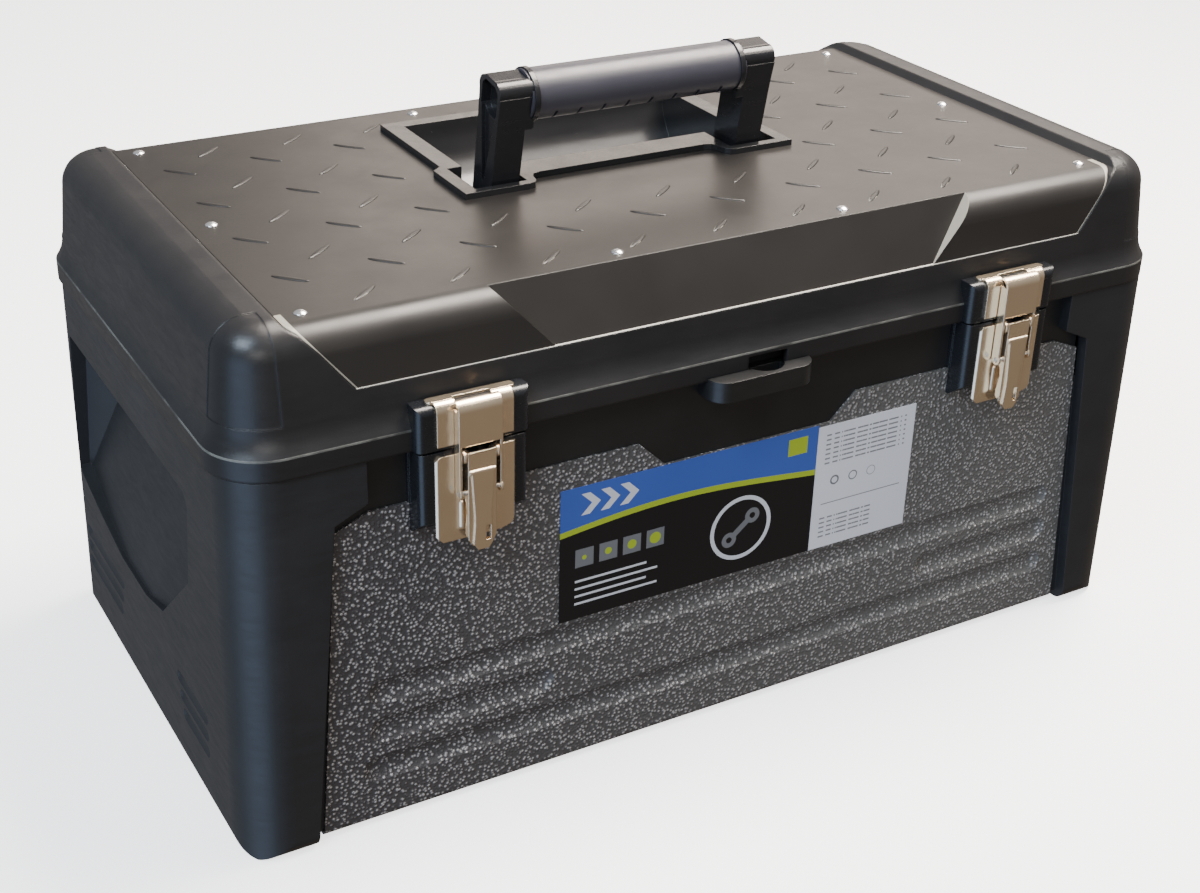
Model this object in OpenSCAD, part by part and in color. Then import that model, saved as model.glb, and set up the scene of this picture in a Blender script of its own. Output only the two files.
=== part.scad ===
// Hard tool case with a hinged lid, two draw latches, a fold-down carrying handle and a lift-out tray.
// X runs to the right, Y to the back and Z up; the origin is the middle of the base. Lengths are in mm.
// The dark plastic ends and rims hold a pressed steel shell below and a pressed steel panel in the lid.

/* [Case] */
// length of the flange round the lid's lower edge
case_w = 500; // [470:1:530]
// depth of the same flange
case_d = 263.8; // [250:0.1:280]
// height of the body's top edge
rim_z = 190.2; // [184:0.1:200]
// gap between the closed lid and the body
lid_gap = 0.3; // [0.2:0.05:1]
// how far the lid's walls stand inside the flange
wall_in = 4; // [3:0.1:5]
// how far the end caps' walls stand inside the flange at their top
end_in = 2.3; // [1.5:0.1:4]
// outward lean of the end caps' walls from top to foot, in degrees
end_lean = 1.3; // [0:0.1:1.5]
// how far the end caps' front and back faces stand inside the flange
cap_in = 0.9; // [0.5:0.1:2]
// wall thickness of the moulded plastic
wall = 3; // [2.4:0.1:3.4]
// plan corner radius of the end caps
cap_r = 22; // [18:0.5:26]
// radius of the end caps' bottom edges
foot_r = 8; // [4:0.5:12]

/* [Steel shell] */
// thickness of the steel sheet
sheet_t = 1.2; // [0.8:0.1:1.4]
// how far the steel face stands behind the end caps' faces
sheet_in = 5; // [4:0.1:6]
// height of the steel floor's underside above the caps' feet
sheet_z = 1.5; // [1:0.1:2.4]
// height of the steel front's top edge
sheet_top = 163.5; // [158:0.5:168]
// depth of the dip in the middle of the top edge
sheet_dip = 13.5; // [8:0.5:18]
// half length of the steel front at its top corners
sheet_half_top = 203.5; // [200:0.5:204]
// width of the steel's edges that lie on the end caps' rebates
lap = 4.5; // [3:0.1:5]
// half length of the steel front at the base
sheet_half_base = 215; // [212:0.5:218]
// width of a pressed bead
bead_w = 14; // [10:0.5:15]
// depth of a pressed bead
bead_d = 2.2; // [1.2:0.1:2.6]

/* [Lid] */
// height of the flange round the lid's lower edge
flange_h = 9.6; // [7:0.1:12]
// height of the hollow curve from the flange up to the wall
flare_h = 11.9; // [9:0.1:14]
// height of the ledge under the steel panel's front edge
ledge_z = 221.5; // [218:0.5:225]
// height of the lid's raised ends
lid_top = 252.5; // [250:0.1:256]
// how far the steel panel lies below the raised ends
panel_drop = 3.6; // [2.5:0.1:5]
// how far the panel's front stands behind the plastic wall
panel_in = 0.5; // [0.3:0.1:1]
// radius of the panel's front and back bends
panel_r = 13; // [11:0.5:15]
// radius of the bend at the top of the lid's walls
end_r = 15; // [12:0.5:17]
// inward lean of the lid's walls in degrees
draft = 6; // [4:0.5:7]
// half length of the flat front facet at its top
facet_top = 126.5; // [110:0.5:140]
// half length of the flat front facet at its foot
facet_foot = 101; // [90:0.5:120]
// diameter of a panel rivet's head
rivet_d = 6; // [4:0.1:8]
// distance of the outer rivets from the middle of the lid
rivet_far = 205; // [200:0.5:208]
// distance of the inner rivets from the middle of the lid
rivet_near = 60; // [40:1:80]
// distance of the front and back rivets from the middle of the lid
rivet_y = 106; // [104:0.5:108]

/* [Handle] */
// height of the handle's pivot above the base
pivot_z = 239; // [238:0.1:239.5]
// distance of the pivot in front of the lid's middle
pivot_front = 3; // [2:0.1:4]
// forward lean of the upright handle in degrees
lean = 10.5; // [8:0.5:12]
// distance from the pivot to the grip's axis
reach = 54; // [52:0.1:55]
// diameter of the grip
grip_d = 24; // [20:0.1:24.4]
// outer face of each leg from the middle
leg_out = 74.8; // [72:0.1:75.2]
// thickness of a leg
leg_t = 14.5; // [12:0.1:15]
// diameter of the handle's pivot pins
pivot_d = 6; // [5:0.1:7]
// height of the bezel's frame on the panel
bezel_h = 3; // [2:0.1:3.4]
// radius of the scoop under the grip
scoop_r = 36.3; // [34:0.1:37]

/* [Latches] */
// distance of each latch from the middle
latch_x = 144; // [130:0.5:155]
// width of the plastic block behind a latch
block_w = 52; // [48:0.5:56]
// how far the block's face stands out from the flange
block_out = 5.1; // [4.5:0.1:6]
// thickness of the latch's plates
plate_t = 1.2; // [0.9:0.1:1.3]
// width of the base plate
base_w = 37; // [34:0.5:40]
// width over the bail's two arms
bail_w = 20; // [19.6:0.1:21]
// width of the lever
lever_w = 13; // [12:0.1:13.2]
// diameter of the lever's pivot pin
lever_pin_d = 2.6; // [2:0.1:3]
// diameter of the bail's pivot pin
bail_pin_d = 2.4; // [2:0.1:2.6]
// radial clearance of a pin in a turning hole
pin_play = 0.06; // [0.03:0.01:0.09]

/* [Hinges] */
// radius of a hinge knuckle
knuckle_r = 6.2; // [5:0.1:6.4]
// width of one whole hinge
hinge_w = 40; // [36:1:50]
// diameter of the hinge pins
hinge_pin_d = 4; // [3:0.1:5]

/* [Tray] */
// half length of the tray's box
tray_x = 212; // [190:1:213]
// half depth of the tray's box
tray_y = 116; // [100:1:118]
// depth of the tray's box
tray_h = 62; // [40:1:70]
// radius of the tray's upright corners
tray_r = 4.8; // [4:0.1:6]
// wall thickness of the tray
tray_t = 2.2; // [1.6:0.1:3]

/* [Labels] */
// thickness of the stickers
label_t = 0.3; // [0.2:0.05:0.6]
// width of the printed sticker
label_w = 139.4; // [120:0.1:140]
// height of the printed sticker
label_h = 69.3; // [60:0.1:69.5]
// height of both stickers' lower edges above the base
label_z = 80.3; // [79:0.1:82]
// width of the white sticker
info_w = 58.3; // [50:0.1:60]
// height of the white sticker
info_h = 68; // [60:0.1:69.5]
// left edge of the printed sticker from the middle
label_left = 97; // [90:0.5:110]

/* [Hidden] */
$fn = 64;
flange_x = case_w / 2;
flange_y = case_d / 2;
cap_x = flange_x - end_in;
cap_y = flange_y - cap_in;
sheet_y = cap_y - sheet_in;
band_y = sheet_y - sheet_t;
inner_x = cap_x - wall;
inner_y = band_y - wall;
band_z = 139.8;
shelf_z = 160.5;
pocket_deep = 26;
pocket_t = 2.6;
cap_edge_top = sheet_half_top + 1.1;
cap_edge_base = sheet_half_base + 4.5;
lid_z = rim_z + lid_gap;
flange_top = lid_z + flange_h;
flare_top = flange_top + flare_h;
lid_y = flange_y - wall_in;
lid_x = flange_x - wall_in;
lid_r = 23;
flare_r = (wall_in * wall_in + flare_h * flare_h) / (2 * wall_in);
panel_z = lid_top - panel_drop;
panel_y = lid_y - panel_in;
shell_t = 2.2;
facet_dy = 12;
facet_dz = panel_z - ledge_z - 0.5;
facet_len = sqrt(facet_dy * facet_dy + facet_dz * facet_dz);
face_y = flange_y + block_out;
plate_y = face_y + plate_t;
pin_a_y = plate_y + 3.3;
pin_a_z = rim_z - 2.2;
pin_b_z = pin_a_z - 17;
lever_y = pin_a_y + 3.5;
lever_top = pin_a_z + 2.4;
lever_foot = pin_a_z - 44;
bail_back = plate_y + 0.4;
bail_y = pin_a_y + 1.7;
bail_top = rim_z + 23;
bail_foot = bail_top - 20;
ear_x = lever_w / 2 + 0.5;
hinge_y = flange_y + 0.7 + knuckle_r;
hinge_z = rim_z + 1.8;
knuckle_w = (hinge_w - 14) / 2;
grip_r = grip_d / 2;
head_r = grip_r + 0.8;
well_out = 84;
well_in = 57;
scoop_y = 44;
scoop_x = leg_out + 1.5;
well_front = 16.5;
well_z = 226;
tray_z = shelf_z + pocket_t;
rivet_h = 1.3;
rivet_places = [
  for (x = [-rivet_far, rivet_far], y = [-rivet_y, 0, rivet_y]) [x, y],
  for (x = [-rivet_near, rivet_near], y = [-rivet_y, rivet_y]) [x, y]
];

// a flat rectangle with four rounded corners
module round_rect(xh, yh, r) {
  square([2 * (xh - r), 2 * yh], center = true);
  square([2 * xh, 2 * (yh - r)], center = true);
  for (sx = [-1, 1], sy = [-1, 1])
    translate([sx * (xh - r), sy * (yh - r)]) circle(r);
}

// the same rectangle as a block standing from z0 to z1
module plan_block(xh, yh, r, z0, z1) {
  translate([0, 0, z0]) linear_extrude(z1 - z0) round_rect(xh, yh, r);
}

// a flat shape with square feet and rounded top corners
module arch(h, z0, z1, r) {
  translate([-h, z0]) square([2 * h, z1 - r - z0]);
  translate([r - h, z0]) square([2 * (h - r), z1 - z0]);
  for (s = [-1, 1]) translate([s * (h - r), z1 - r]) circle(r);
}

// a flat shape with square tops and rounded bottom corners
module tub(h, z0, z1, r) {
  translate([-h, z0 + r]) square([2 * h, z1 - r - z0]);
  translate([r - h, z0]) square([2 * (h - r), z1 - z0]);
  for (s = [-1, 1]) translate([s * (h - r), z0 + r]) circle(r);
}

// a shape drawn in Y and Z and drawn out along X
module along_x(h) {
  rotate([90, 0, 90]) translate([0, 0, -h]) linear_extrude(2 * h) children();
}

// a shape drawn in X and Z and drawn out along Y
module along_y(h) {
  rotate([90, 0, 0]) translate([0, 0, -h]) linear_extrude(2 * h) children();
}

// a section h wide each way at the foot of the lid's walls, with leaning sides and rounded
// shoulders below top, moved in by s and cut off at the height z0
module leaning(h, top, bend, s, z0) {
  z = top - bend;
  c = h - bend / cos(draft) - (z - flare_top) * tan(draft);
  r = bend - s;
  for (m = [0, 1]) mirror([m, 0]) {
    translate([c, z]) circle(r);
    polygon([
      [-1, z0], [c + r / cos(draft) + (z - z0) * tan(draft), z0],
      [c + r * cos(draft), z + r * sin(draft)], [c, z], [c, z + r], [-1, z + r]
    ]);
  }
}

// a block given by its low and high corners
module block(lo, hi) {
  translate(lo) cube(hi - lo);
}

// a round bar along X
module bar_x(r, x0, x1, y, z) {
  translate([x0, y, z]) rotate([0, 90, 0]) cylinder(r = r, h = x1 - x0);
}

// a bar with ball ends along X
module pill_x(r, x0, x1, y, z) {
  bar_x(r, x0, x1, y, z);
  for (x = [x0, x1]) translate([x, y, z]) sphere(r);
}

// a bar with ball ends along Z
module pill_z(r, z0, z1, x, y) {
  translate([x, y, z0]) cylinder(r = r, h = z1 - z0);
  for (z = [z0, z1]) translate([x, y, z]) sphere(r);
}

// a bar with ball ends along Y
module pill_y(r, y0, y1, x, z) {
  translate([x, y0, z]) rotate([-90, 0, 0]) cylinder(r = r, h = y1 - y0);
  for (y = [y0, y1]) translate([x, y, z]) sphere(r);
}

// how far out an end cap's wall stands at a height
function wall_x(z) = cap_x + (rim_z - z) * tan(end_lean);

// the hand pocket in the left end, grown by g on every side
module pocket(g) {
  intersection() {
    along_x(flange_x + 9) polygon([
      [-74 - g, 155], [-69 - g / 2, shelf_z + g], [107 + g, shelf_z + g], [113 + g, 84 - g / 2],
      [75, 74 - g], [41, 67.5 - g], [3, 67.5 - g], [-24 - g / 2, 74 - g], [-68 - g, 114 - g / 2]
    ]);
    along_y(flange_y) polygon([
      [-wall_x(50) - 9, 50], [-wall_x(64) + 1.2 + g, 64], [-cap_x + pocket_deep + g, shelf_z],
      [-cap_x + pocket_deep + g, shelf_z + 9], [-wall_x(50) - 9, shelf_z + 9]
    ]);
    linear_extrude(rim_z) polygon([
      [-cap_x - 19, -90], [-cap_x + 40, -90], [-cap_x + 40, 54 + g], [-cap_x + pocket_deep, 78 + g],
      [-cap_x, 118 + g], [-cap_x - 9, 132 + g], [-cap_x - 19, 132 + g]
    ]);
  }
}

// leans what stands on the left end outwards round the top edge of its wall
module leaned() {
  translate([-cap_x, 0, rim_z]) rotate([0, end_lean, 0]) translate([cap_x, 0, -rim_z]) children();
}

// the solid shape of the left end cap before it is hollowed
module cap_solid() {
  intersection() {
    leaned() intersection() {
      plan_block(cap_x, cap_y, cap_r, -9, rim_z + 9);
      along_y(flange_y) tub(cap_x, 0, rim_z + 9, foot_r);
    }
    along_x(flange_x + 9) tub(cap_y, 0, rim_z + 9, foot_r);
    block([-flange_x - 9, -flange_y, 0], [0, flange_y, rim_z]);
  }
}

// the space inside the left end cap between two heights
module cap_hollow(yh, z0, z1) {
  intersection() {
    leaned() plan_block(inner_x, yh, cap_r - wall - 4, -9, rim_z + 19);
    block([-flange_x - 9, -flange_y, z0], [0, flange_y, z1]);
  }
}

// moulded end of the body with its hand pocket and the rebate for the steel sheet
module end_cap_left() {
  color([0.09, 0.10, 0.11]) difference() {
    union() {
      difference() {
        union() {
          intersection() {
            cap_solid();
            along_y(flange_y) polygon([
              [-flange_x - 9, -1], [-cap_edge_base, -1], [-cap_edge_top, sheet_top],
              [15 - cap_edge_top, sheet_top + 7], [15 - cap_edge_top, rim_z + 1],
              [-flange_x - 9, rim_z + 1]
            ]);
          }
          intersection() {
            cap_solid();
            along_x(flange_x) tub(band_y, sheet_z + sheet_t, band_z, 4);
            along_y(flange_y) polygon([
              [-cap_x + 1, 0], [lap - sheet_half_base, 0], [lap - sheet_half_top, sheet_top],
              [-cap_x + 1, sheet_top]
            ]);
          }
        }
        cap_hollow(inner_y, sheet_z + sheet_t + wall, rim_z + 1);
        cap_hollow(band_y, band_z, rim_z + 1);
      }
      intersection() {
        pocket(pocket_t);
        cap_solid();
      }
    }
    pocket(0);
    for (z = [32, 41, 50]) {
      pill_y(5, -80, -50 + (z - 32) / 3, -wall_x(z) - 3.6, z);
      pill_y(5, 52 - (z - 32) / 3, 104, -wall_x(z) - 3.6, z);
    }
  }
}

// moulded end of the body, the other hand
module end_cap_right() {
  mirror([1, 0, 0]) end_cap_left();
}

// outline of the steel shell seen from the front
module sheet_outline() {
  polygon([
    [-sheet_half_base, 0], [sheet_half_base, 0], [sheet_half_top, sheet_top - 6.5],
    [sheet_half_top - 16, sheet_top], [63, sheet_top], [49, sheet_top - sheet_dip],
    [-43, sheet_top - sheet_dip], [-57, sheet_top], [16 - sheet_half_top, sheet_top],
    [-sheet_half_top, sheet_top - 6.5]
  ]);
}

// the five pressed beads as bars of radius r set into the front face
module beads(r, c) {
  for (b = [[-184, 192, 71.5], [-184, -106, 51], [120, 194, 51], [-188, 194, 30.5]])
    pill_x(r, b[0], b[1], c, b[2]);
}

// one steel sheet bent up into the front, floor and back of the body
module steel_body() {
  r = (bead_w * bead_w / 4 + bead_d * bead_d) / (2 * bead_d);
  color([0.16, 0.16, 0.17]) difference() {
    intersection() {
      union() {
        difference() {
          along_x(sheet_half_base) tub(sheet_y, sheet_z, sheet_top, 4);
          along_x(flange_x) tub(band_y, sheet_z + sheet_t, sheet_top + 1, 4 - sheet_t);
        }
        intersection() {
          beads(r + sheet_t, -sheet_y - r + bead_d);
          block([-flange_x, -sheet_y, 0], [flange_x, 0, sheet_top]);
        }
      }
      along_y(flange_y) sheet_outline();
    }
    beads(r, -sheet_y - r + bead_d);
  }
}

// one hinge's two outer knuckles with their arms on the body
module body_knuckles() {
  for (s = [-1, 1]) {
    x0 = s > 0 ? hinge_w / 2 - knuckle_w : -hinge_w / 2;
    bar_x(knuckle_r, x0, x0 + knuckle_w, hinge_y, hinge_z);
    block([x0, band_y, rim_z - 10], [x0 + knuckle_w, hinge_y, rim_z - 2]);
  }
}

// moulded ring round the body's mouth with the band the latches stand on
module rim_frame() {
  color([0.10, 0.105, 0.115]) difference() {
    union() {
      difference() {
        union() {
          plan_block(inner_x, band_y, cap_r - wall - 3, shelf_z + 4.5, rim_z);
          for (s = [-1, 1])
            block([-sheet_half_top, s > 0 ? inner_y : -band_y, band_z],
                  [sheet_half_top, s > 0 ? band_y : -inner_y, rim_z]);
        }
        plan_block(inner_x - 4, inner_y, cap_r - wall - 6, band_z - 1, rim_z + 1);
      }
      difference() {
        plan_block(inner_x - 1.5, inner_y + 1.5, cap_r - wall - 4, rim_z - 4, rim_z + 6);
        plan_block(inner_x - 4, inner_y, cap_r - wall - 6, rim_z - 5, rim_z + 7);
      }
      for (s = [-1, 1]) translate([s * latch_x, 0, 0]) body_knuckles();
    }
    for (s = [-1, 1])
      bar_x(hinge_pin_d / 2, s * latch_x - hinge_w, s * latch_x + hinge_w, hinge_y, hinge_z);
  }
}

// eye for a padlock standing out of the body's front band
module padlock_eye() {
  color([0.12, 0.12, 0.13]) difference() {
    intersection() {
      union() {
        block([-27, -band_y - 15.7, rim_z - 8.2], [28, -band_y, rim_z]);
        block([-27, -band_y - 15.7, rim_z - 8.2], [28, -flange_y - 0.4, rim_z + 1.8]);
      }
      translate([0.5, -band_y - 2.7, rim_z - 9]) linear_extrude(12) round_rect(27.5, 13, 9);
    }
    intersection() {
      translate([5.5, -band_y - 3.2, rim_z - 9]) cylinder(r = 9.8, h = 12);
      block([-10, -band_y - 20, rim_z - 10], [20, -band_y - 3.2, rim_z + 4]);
    }
  }
}

// plastic block the lower half of a latch is fixed to
module latch_block() {
  color([0.07, 0.075, 0.085]) difference() {
    union() {
      intersection() {
        translate([0, -sheet_y, rim_z - 40])
          linear_extrude(39.7) round_rect(block_w / 2 - 0.8, face_y - sheet_y, 3.5);
        block([-block_w, -face_y - 1, rim_z - 41], [block_w, -sheet_y, rim_z]);
        along_x(block_w) polygon([
          [-face_y - 1, rim_z], [-face_y - 1, rim_z - 32], [-sheet_y - 1.5, rim_z - 40.2],
          [-sheet_y + 1, rim_z - 40.2], [-sheet_y + 1, rim_z]
        ]);
      }
      block([-block_w / 2, -sheet_y - 1, sheet_top + 0.2], [block_w / 2, -band_y, rim_z - 0.3]);
    }
    block([-lever_w / 2 - 1, -face_y - 1, rim_z - 11], [lever_w / 2 + 1, -face_y + 3, rim_z + 1]);
  }
}

// pressed base plate with two ears for the lever's pin
module latch_base() {
  w = base_w / 2;
  color([0.72, 0.66, 0.56]) difference() {
    union() {
      difference() {
        along_y_at(plate_y, plate_t) polygon([
          [3 - w, rim_z - 43], [w - 7, rim_z - 43], [w - 2, rim_z - 41.5], [w, rim_z - 38],
          [w, rim_z - 2], [2 - w, rim_z - 2], [-w, rim_z - 4], [-w, rim_z - 40]
        ]);
        block([-ear_x, -plate_y - 1, rim_z - 11.2], [ear_x, -face_y + 1, rim_z]);
        along_y_at(plate_y + 1, plate_t + 2) tub(9.3, rim_z - 22.2, rim_z - 6.5, 3);
        for (s = [-1, 1]) translate([s * w, -plate_y, 0]) rotate([0, 0, 45])
          block([-0.6, -0.6, rim_z - 50], [0.6, 0.6, rim_z]);
      }
      for (s = [-1, 1]) {
        x0 = s > 0 ? ear_x : -ear_x - plate_t;
        intersection() {
          pill_z(2.4, rim_z - 36.6, rim_z - 25.6, s * 6.2, -plate_y + 1.5);
          block([-w, -plate_y - 3, 0], [w, -face_y, rim_z]);
        }
        bar_x(2.9, x0, x0 + plate_t, -pin_a_y, pin_a_z);
        block([x0, -pin_a_y, pin_a_z - 2.9], [x0 + plate_t, -face_y, rim_z - 2]);
      }
    }
    bar_x(lever_pin_d / 2 + pin_play, -w, w, -pin_a_y, pin_a_z);
  }
}

// upper plastic block on the lid's flange
module keeper_block() {
  color([0.07, 0.075, 0.085]) difference() {
    intersection() {
      translate([0, -lid_y, lid_z + 0.4]) linear_extrude(20.1) round_rect(block_w / 2, face_y - lid_y, 3.5);
      along_x(block_w) arch(face_y, lid_z, lid_z + 20.5, 3.6);
      block([-block_w, -face_y - 1, lid_z], [block_w, -lid_y, lid_z + 21]);
    }
    along_x(block_w) flare_outline();
  }
}

// keeper plate folded over the upper block, with a gap in the middle for the lever
module keeper() {
  top = lid_z + 20.5 + plate_t;
  color([0.74, 0.68, 0.58]) difference() {
    union() {
      intersection() {
        along_x(17.5) difference() {
          arch(plate_y, lid_z, top, 3.2 + plate_t);
          arch(face_y, lid_z - 1, top - plate_t, 3.2);
        }
        block([-18, -plate_y - 1, lid_z + 2.2], [18, -face_y + 7, top + 1]);
      }
      translate([0, -face_y + 4.8, top - plate_t]) linear_extrude(plate_t) round_rect(20, 2.2, 2);
    }
    block([-lever_w / 2 - 1.8, -plate_y - 1, 0], [lever_w / 2 + 1.8, -face_y + 4, lid_z + 40]);
  }
}

// hand lever of a latch: a channel with a folded ridge across it and a waisted finger below
module lever() {
  w = lever_w / 2;
  fold_z = pin_a_z - 7;
  color([0.80, 0.75, 0.66]) difference() {
    union() {
      along_y_at(lever_y - 1, plate_t) polygon([
        [-w, lever_top], [-w, lever_foot + 5], [2 - w, lever_foot + 2], [w - 2, lever_foot + 2],
        [w, lever_foot + 5], [w, lever_top]
      ]);
      bar_x(1.2, 0.6 - w, w - 0.6, -lever_y + 1.2, fold_z);
      along_y_at(lever_y, plate_t) polygon([
        [-0.8 * w, fold_z], [-0.72 * w, pin_a_z - 15], [-0.6 * w, pin_a_z - 27],
        [-0.6 * w, pin_a_z - 32], [-0.7 * w, lever_foot + 3], [-0.4 * w, lever_foot],
        [0.4 * w, lever_foot], [0.7 * w, lever_foot + 3], [0.6 * w, pin_a_z - 32],
        [0.6 * w, pin_a_z - 27], [0.72 * w, pin_a_z - 15], [0.8 * w, fold_z]
      ]);
      for (s = [-1, 1]) {
        x0 = s > 0 ? w - 1 : -w;
        along_x_at(x0, 1) polygon([
          [-lever_y + 1.6, lever_top], [-pin_a_y + 1.5, lever_top], [-pin_a_y + 2.6, pin_a_z],
          [-pin_a_y + 2.2, pin_b_z - 2], [-pin_a_y, pin_b_z - 5], [-pin_a_y - 0.6, pin_b_z - 9],
          [-pin_a_y + 0.8, lever_foot + 10], [-pin_a_y + 0.8, lever_foot + 7],
          [-lever_y + 1.6, lever_foot + 4.6]
        ]);
      }
    }
    bar_x(lever_pin_d / 2, -w - 1, w + 1, -pin_a_y, pin_a_z);
    bar_x(bail_pin_d / 2 + pin_play, -w - 1, w + 1, -pin_a_y, pin_b_z);
    block([0.2 * w, -lever_y - 1, lever_foot + 4], [0.52 * w, -lever_y + 3, lever_foot + 11]);
  }
}

// a flat shape in X and Z made into a plate whose front face is at -y
module along_y_at(y, t) {
  translate([0, t - y, 0]) rotate([90, 0, 0]) linear_extrude(t) children();
}

// a flat shape in Y and Z made into a plate starting at x0
module along_x_at(x0, t) {
  translate([x0, 0, 0]) rotate([90, 0, 90]) linear_extrude(t) children();
}

// bail of a latch: two arms and a front plate whose top curls over the keeper
module bail() {
  w = bail_w / 2;
  color([0.82, 0.78, 0.70]) difference() {
    union() {
      for (s = [-1, 1]) {
        x0 = s > 0 ? w - plate_t : -w;
        bar_x(2.6, x0, x0 + plate_t, -pin_a_y, pin_b_z);
        block([x0, -pin_a_y - 1.7, pin_b_z], [x0 + plate_t, -bail_back, bail_top - 4.5]);
      }
      intersection() {
        along_x(w) difference() {
          arch(bail_y, 0, bail_top, 4.5);
          arch(bail_y - plate_t, -1, bail_top - plate_t, 4.5 - plate_t);
        }
        block([-w, -bail_y - 1, bail_foot], [w, -bail_back, bail_top + 1]);
      }
    }
    bar_x(bail_pin_d / 2, -w - 1, w + 1, -pin_a_y, pin_b_z);
  }
}

// pin a lever turns on
module lever_pin() {
  w = ear_x + plate_t;
  color([0.70, 0.70, 0.70]) bar_x(lever_pin_d / 2, -w, w, -pin_a_y, pin_a_z);
}

// pin a bail turns on
module bail_pin() {
  w = bail_w / 2;
  color([0.70, 0.70, 0.70]) bar_x(bail_pin_d / 2, -w, w, -pin_a_y, pin_b_z);
}

// steel pin of one hinge with a flat head at each end
module hinge_pin() {
  w = hinge_w / 2;
  color([0.62, 0.62, 0.62]) {
    bar_x(hinge_pin_d / 2, -w - 0.5, w + 0.5, hinge_y, hinge_z);
    for (x = [-w - 1.2, w]) bar_x(hinge_pin_d / 2 + 1.2, x, x + 1.2, hinge_y, hinge_z);
  }
}

// printed sticker on the steel front
module front_label() {
  color([0.13, 0.17, 0.42])
    block([-label_left, -sheet_y - label_t, label_z], [label_w - label_left, -sheet_y, label_z + label_h]);
}

// white sticker next to it
module info_label() {
  x0 = label_w - label_left + 0.3;
  color([0.86, 0.86, 0.87])
    block([x0, -sheet_y - label_t, label_z], [x0 + info_w, -sheet_y, label_z + info_h]);
}

// section of the flange and the hollow curve above it, front and back
module flare_outline() {
  difference() {
    translate([-flange_y, lid_z]) square([2 * flange_y, flare_top - lid_z]);
    for (s = [-1, 1]) {
      translate([s * (lid_y + flare_r), flare_top]) circle(flare_r);
    }
  }
}

// the same section from end to end
module flare_ends() {
  difference() {
    translate([-flange_x, lid_z]) square([2 * flange_x, flare_top - lid_z]);
    for (s = [-1, 1]) {
      translate([s * (lid_x + flare_r), flare_top]) circle(flare_r);
    }
  }
}

// the same section turned round a plan corner
module flare_corner() {
  difference() {
    translate([0, lid_z]) square([lid_r + wall_in, flare_top - lid_z]);
    translate([lid_r + flare_r, flare_top]) circle(flare_r);
  }
}

// flange and hollow curve of the lid as one solid ring-shaped block
module flare_solid() {
  along_x(lid_x - lid_r) flare_outline();
  along_y(lid_y - lid_r) flare_ends();
  for (c = [[1, 1, 0], [-1, 1, 90], [-1, -1, 180], [1, -1, 270]])
    translate([c[0] * (lid_x - lid_r), c[1] * (lid_y - lid_r), 0]) rotate([0, 0, c[2]])
      rotate_extrude(angle = 90) flare_corner();
}

// walls and top of the lid as one block; its walls stand 0.02 inside the hollow curve's top and
// its domed corners 0.3 inside the walls, so that no two faces of it run on into each other
module lid_block() {
  along_x(lid_x - lid_r) leaning(lid_y - 0.02, lid_top, end_r, 0, flare_top);
  along_y(lid_y - lid_r) leaning(lid_x - 0.02, lid_top, end_r, 0, flare_top);
  for (sx = [-1, 1], sy = [-1, 1]) translate([sx * (lid_x - lid_r), sy * (lid_y - lid_r), 0])
    rotate_extrude() intersection() {
      leaning(lid_r, lid_top, end_r, 0.3, flare_top - 0.3);
      translate([0, flare_top - 0.3]) square([lid_r + 9, lid_top]);
    }
}

// front-view outline of the opening the steel panel lies in
module panel_outline() {
  polygon([
    [-191, ledge_z], [191, ledge_z], [198, ledge_z + 8.5], [205, ledge_z + 17.5], [212, panel_z - 2.4],
    [216, panel_z], [219.4, lid_top + 0.1], [219.4, lid_top + 9], [-219.4, lid_top + 9],
    [-219.4, lid_top + 0.1], [-216, panel_z], [-212, panel_z - 2.4], [-205, ledge_z + 17.5],
    [-198, ledge_z + 8.5]
  ]);
}

// everything in front of the lid's flat middle facet, moved in by s
module facet(s) {
  nx = facet_dz / facet_len;
  nz = facet_dy / facet_len;
  y0 = -panel_y + facet_dy + 1.9;
  intersection() {
    along_x(flange_x) translate([s * nx, -s * nz]) polygon([
      [y0 + 3 * nz, panel_z + 3 * nx], [y0 - facet_dy - 3 * nz, panel_z - facet_dz - 3 * nx],
      [y0 - facet_dy - 30, panel_z - facet_dz - 3 * nx], [y0 - facet_dy - 30, panel_z + 3 * nx]
    ]);
    along_y(flange_y) polygon([
      [-facet_foot - s, ledge_z - 9], [facet_foot + s, ledge_z - 9], [facet_foot + s, ledge_z],
      [facet_top + s, panel_z], [facet_top + 3 + s, panel_z + 9], [-facet_top - 3 - s, panel_z + 9],
      [-facet_top - s, panel_z], [-facet_foot - s, ledge_z]
    ]);
  }
}

// the lid's pressed steel surface as a solid, moved in by s
module panel_solid(s) {
  difference() {
    along_x(flange_x) leaning(panel_y, panel_z, panel_r, s, ledge_z - 9);
    facet(s);
  }
}

// space under the steel panel where the lid is open inside
module lid_mouth() {
  plan_block(196, 98, 12, ledge_z + 9, lid_top + 1);
}

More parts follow.
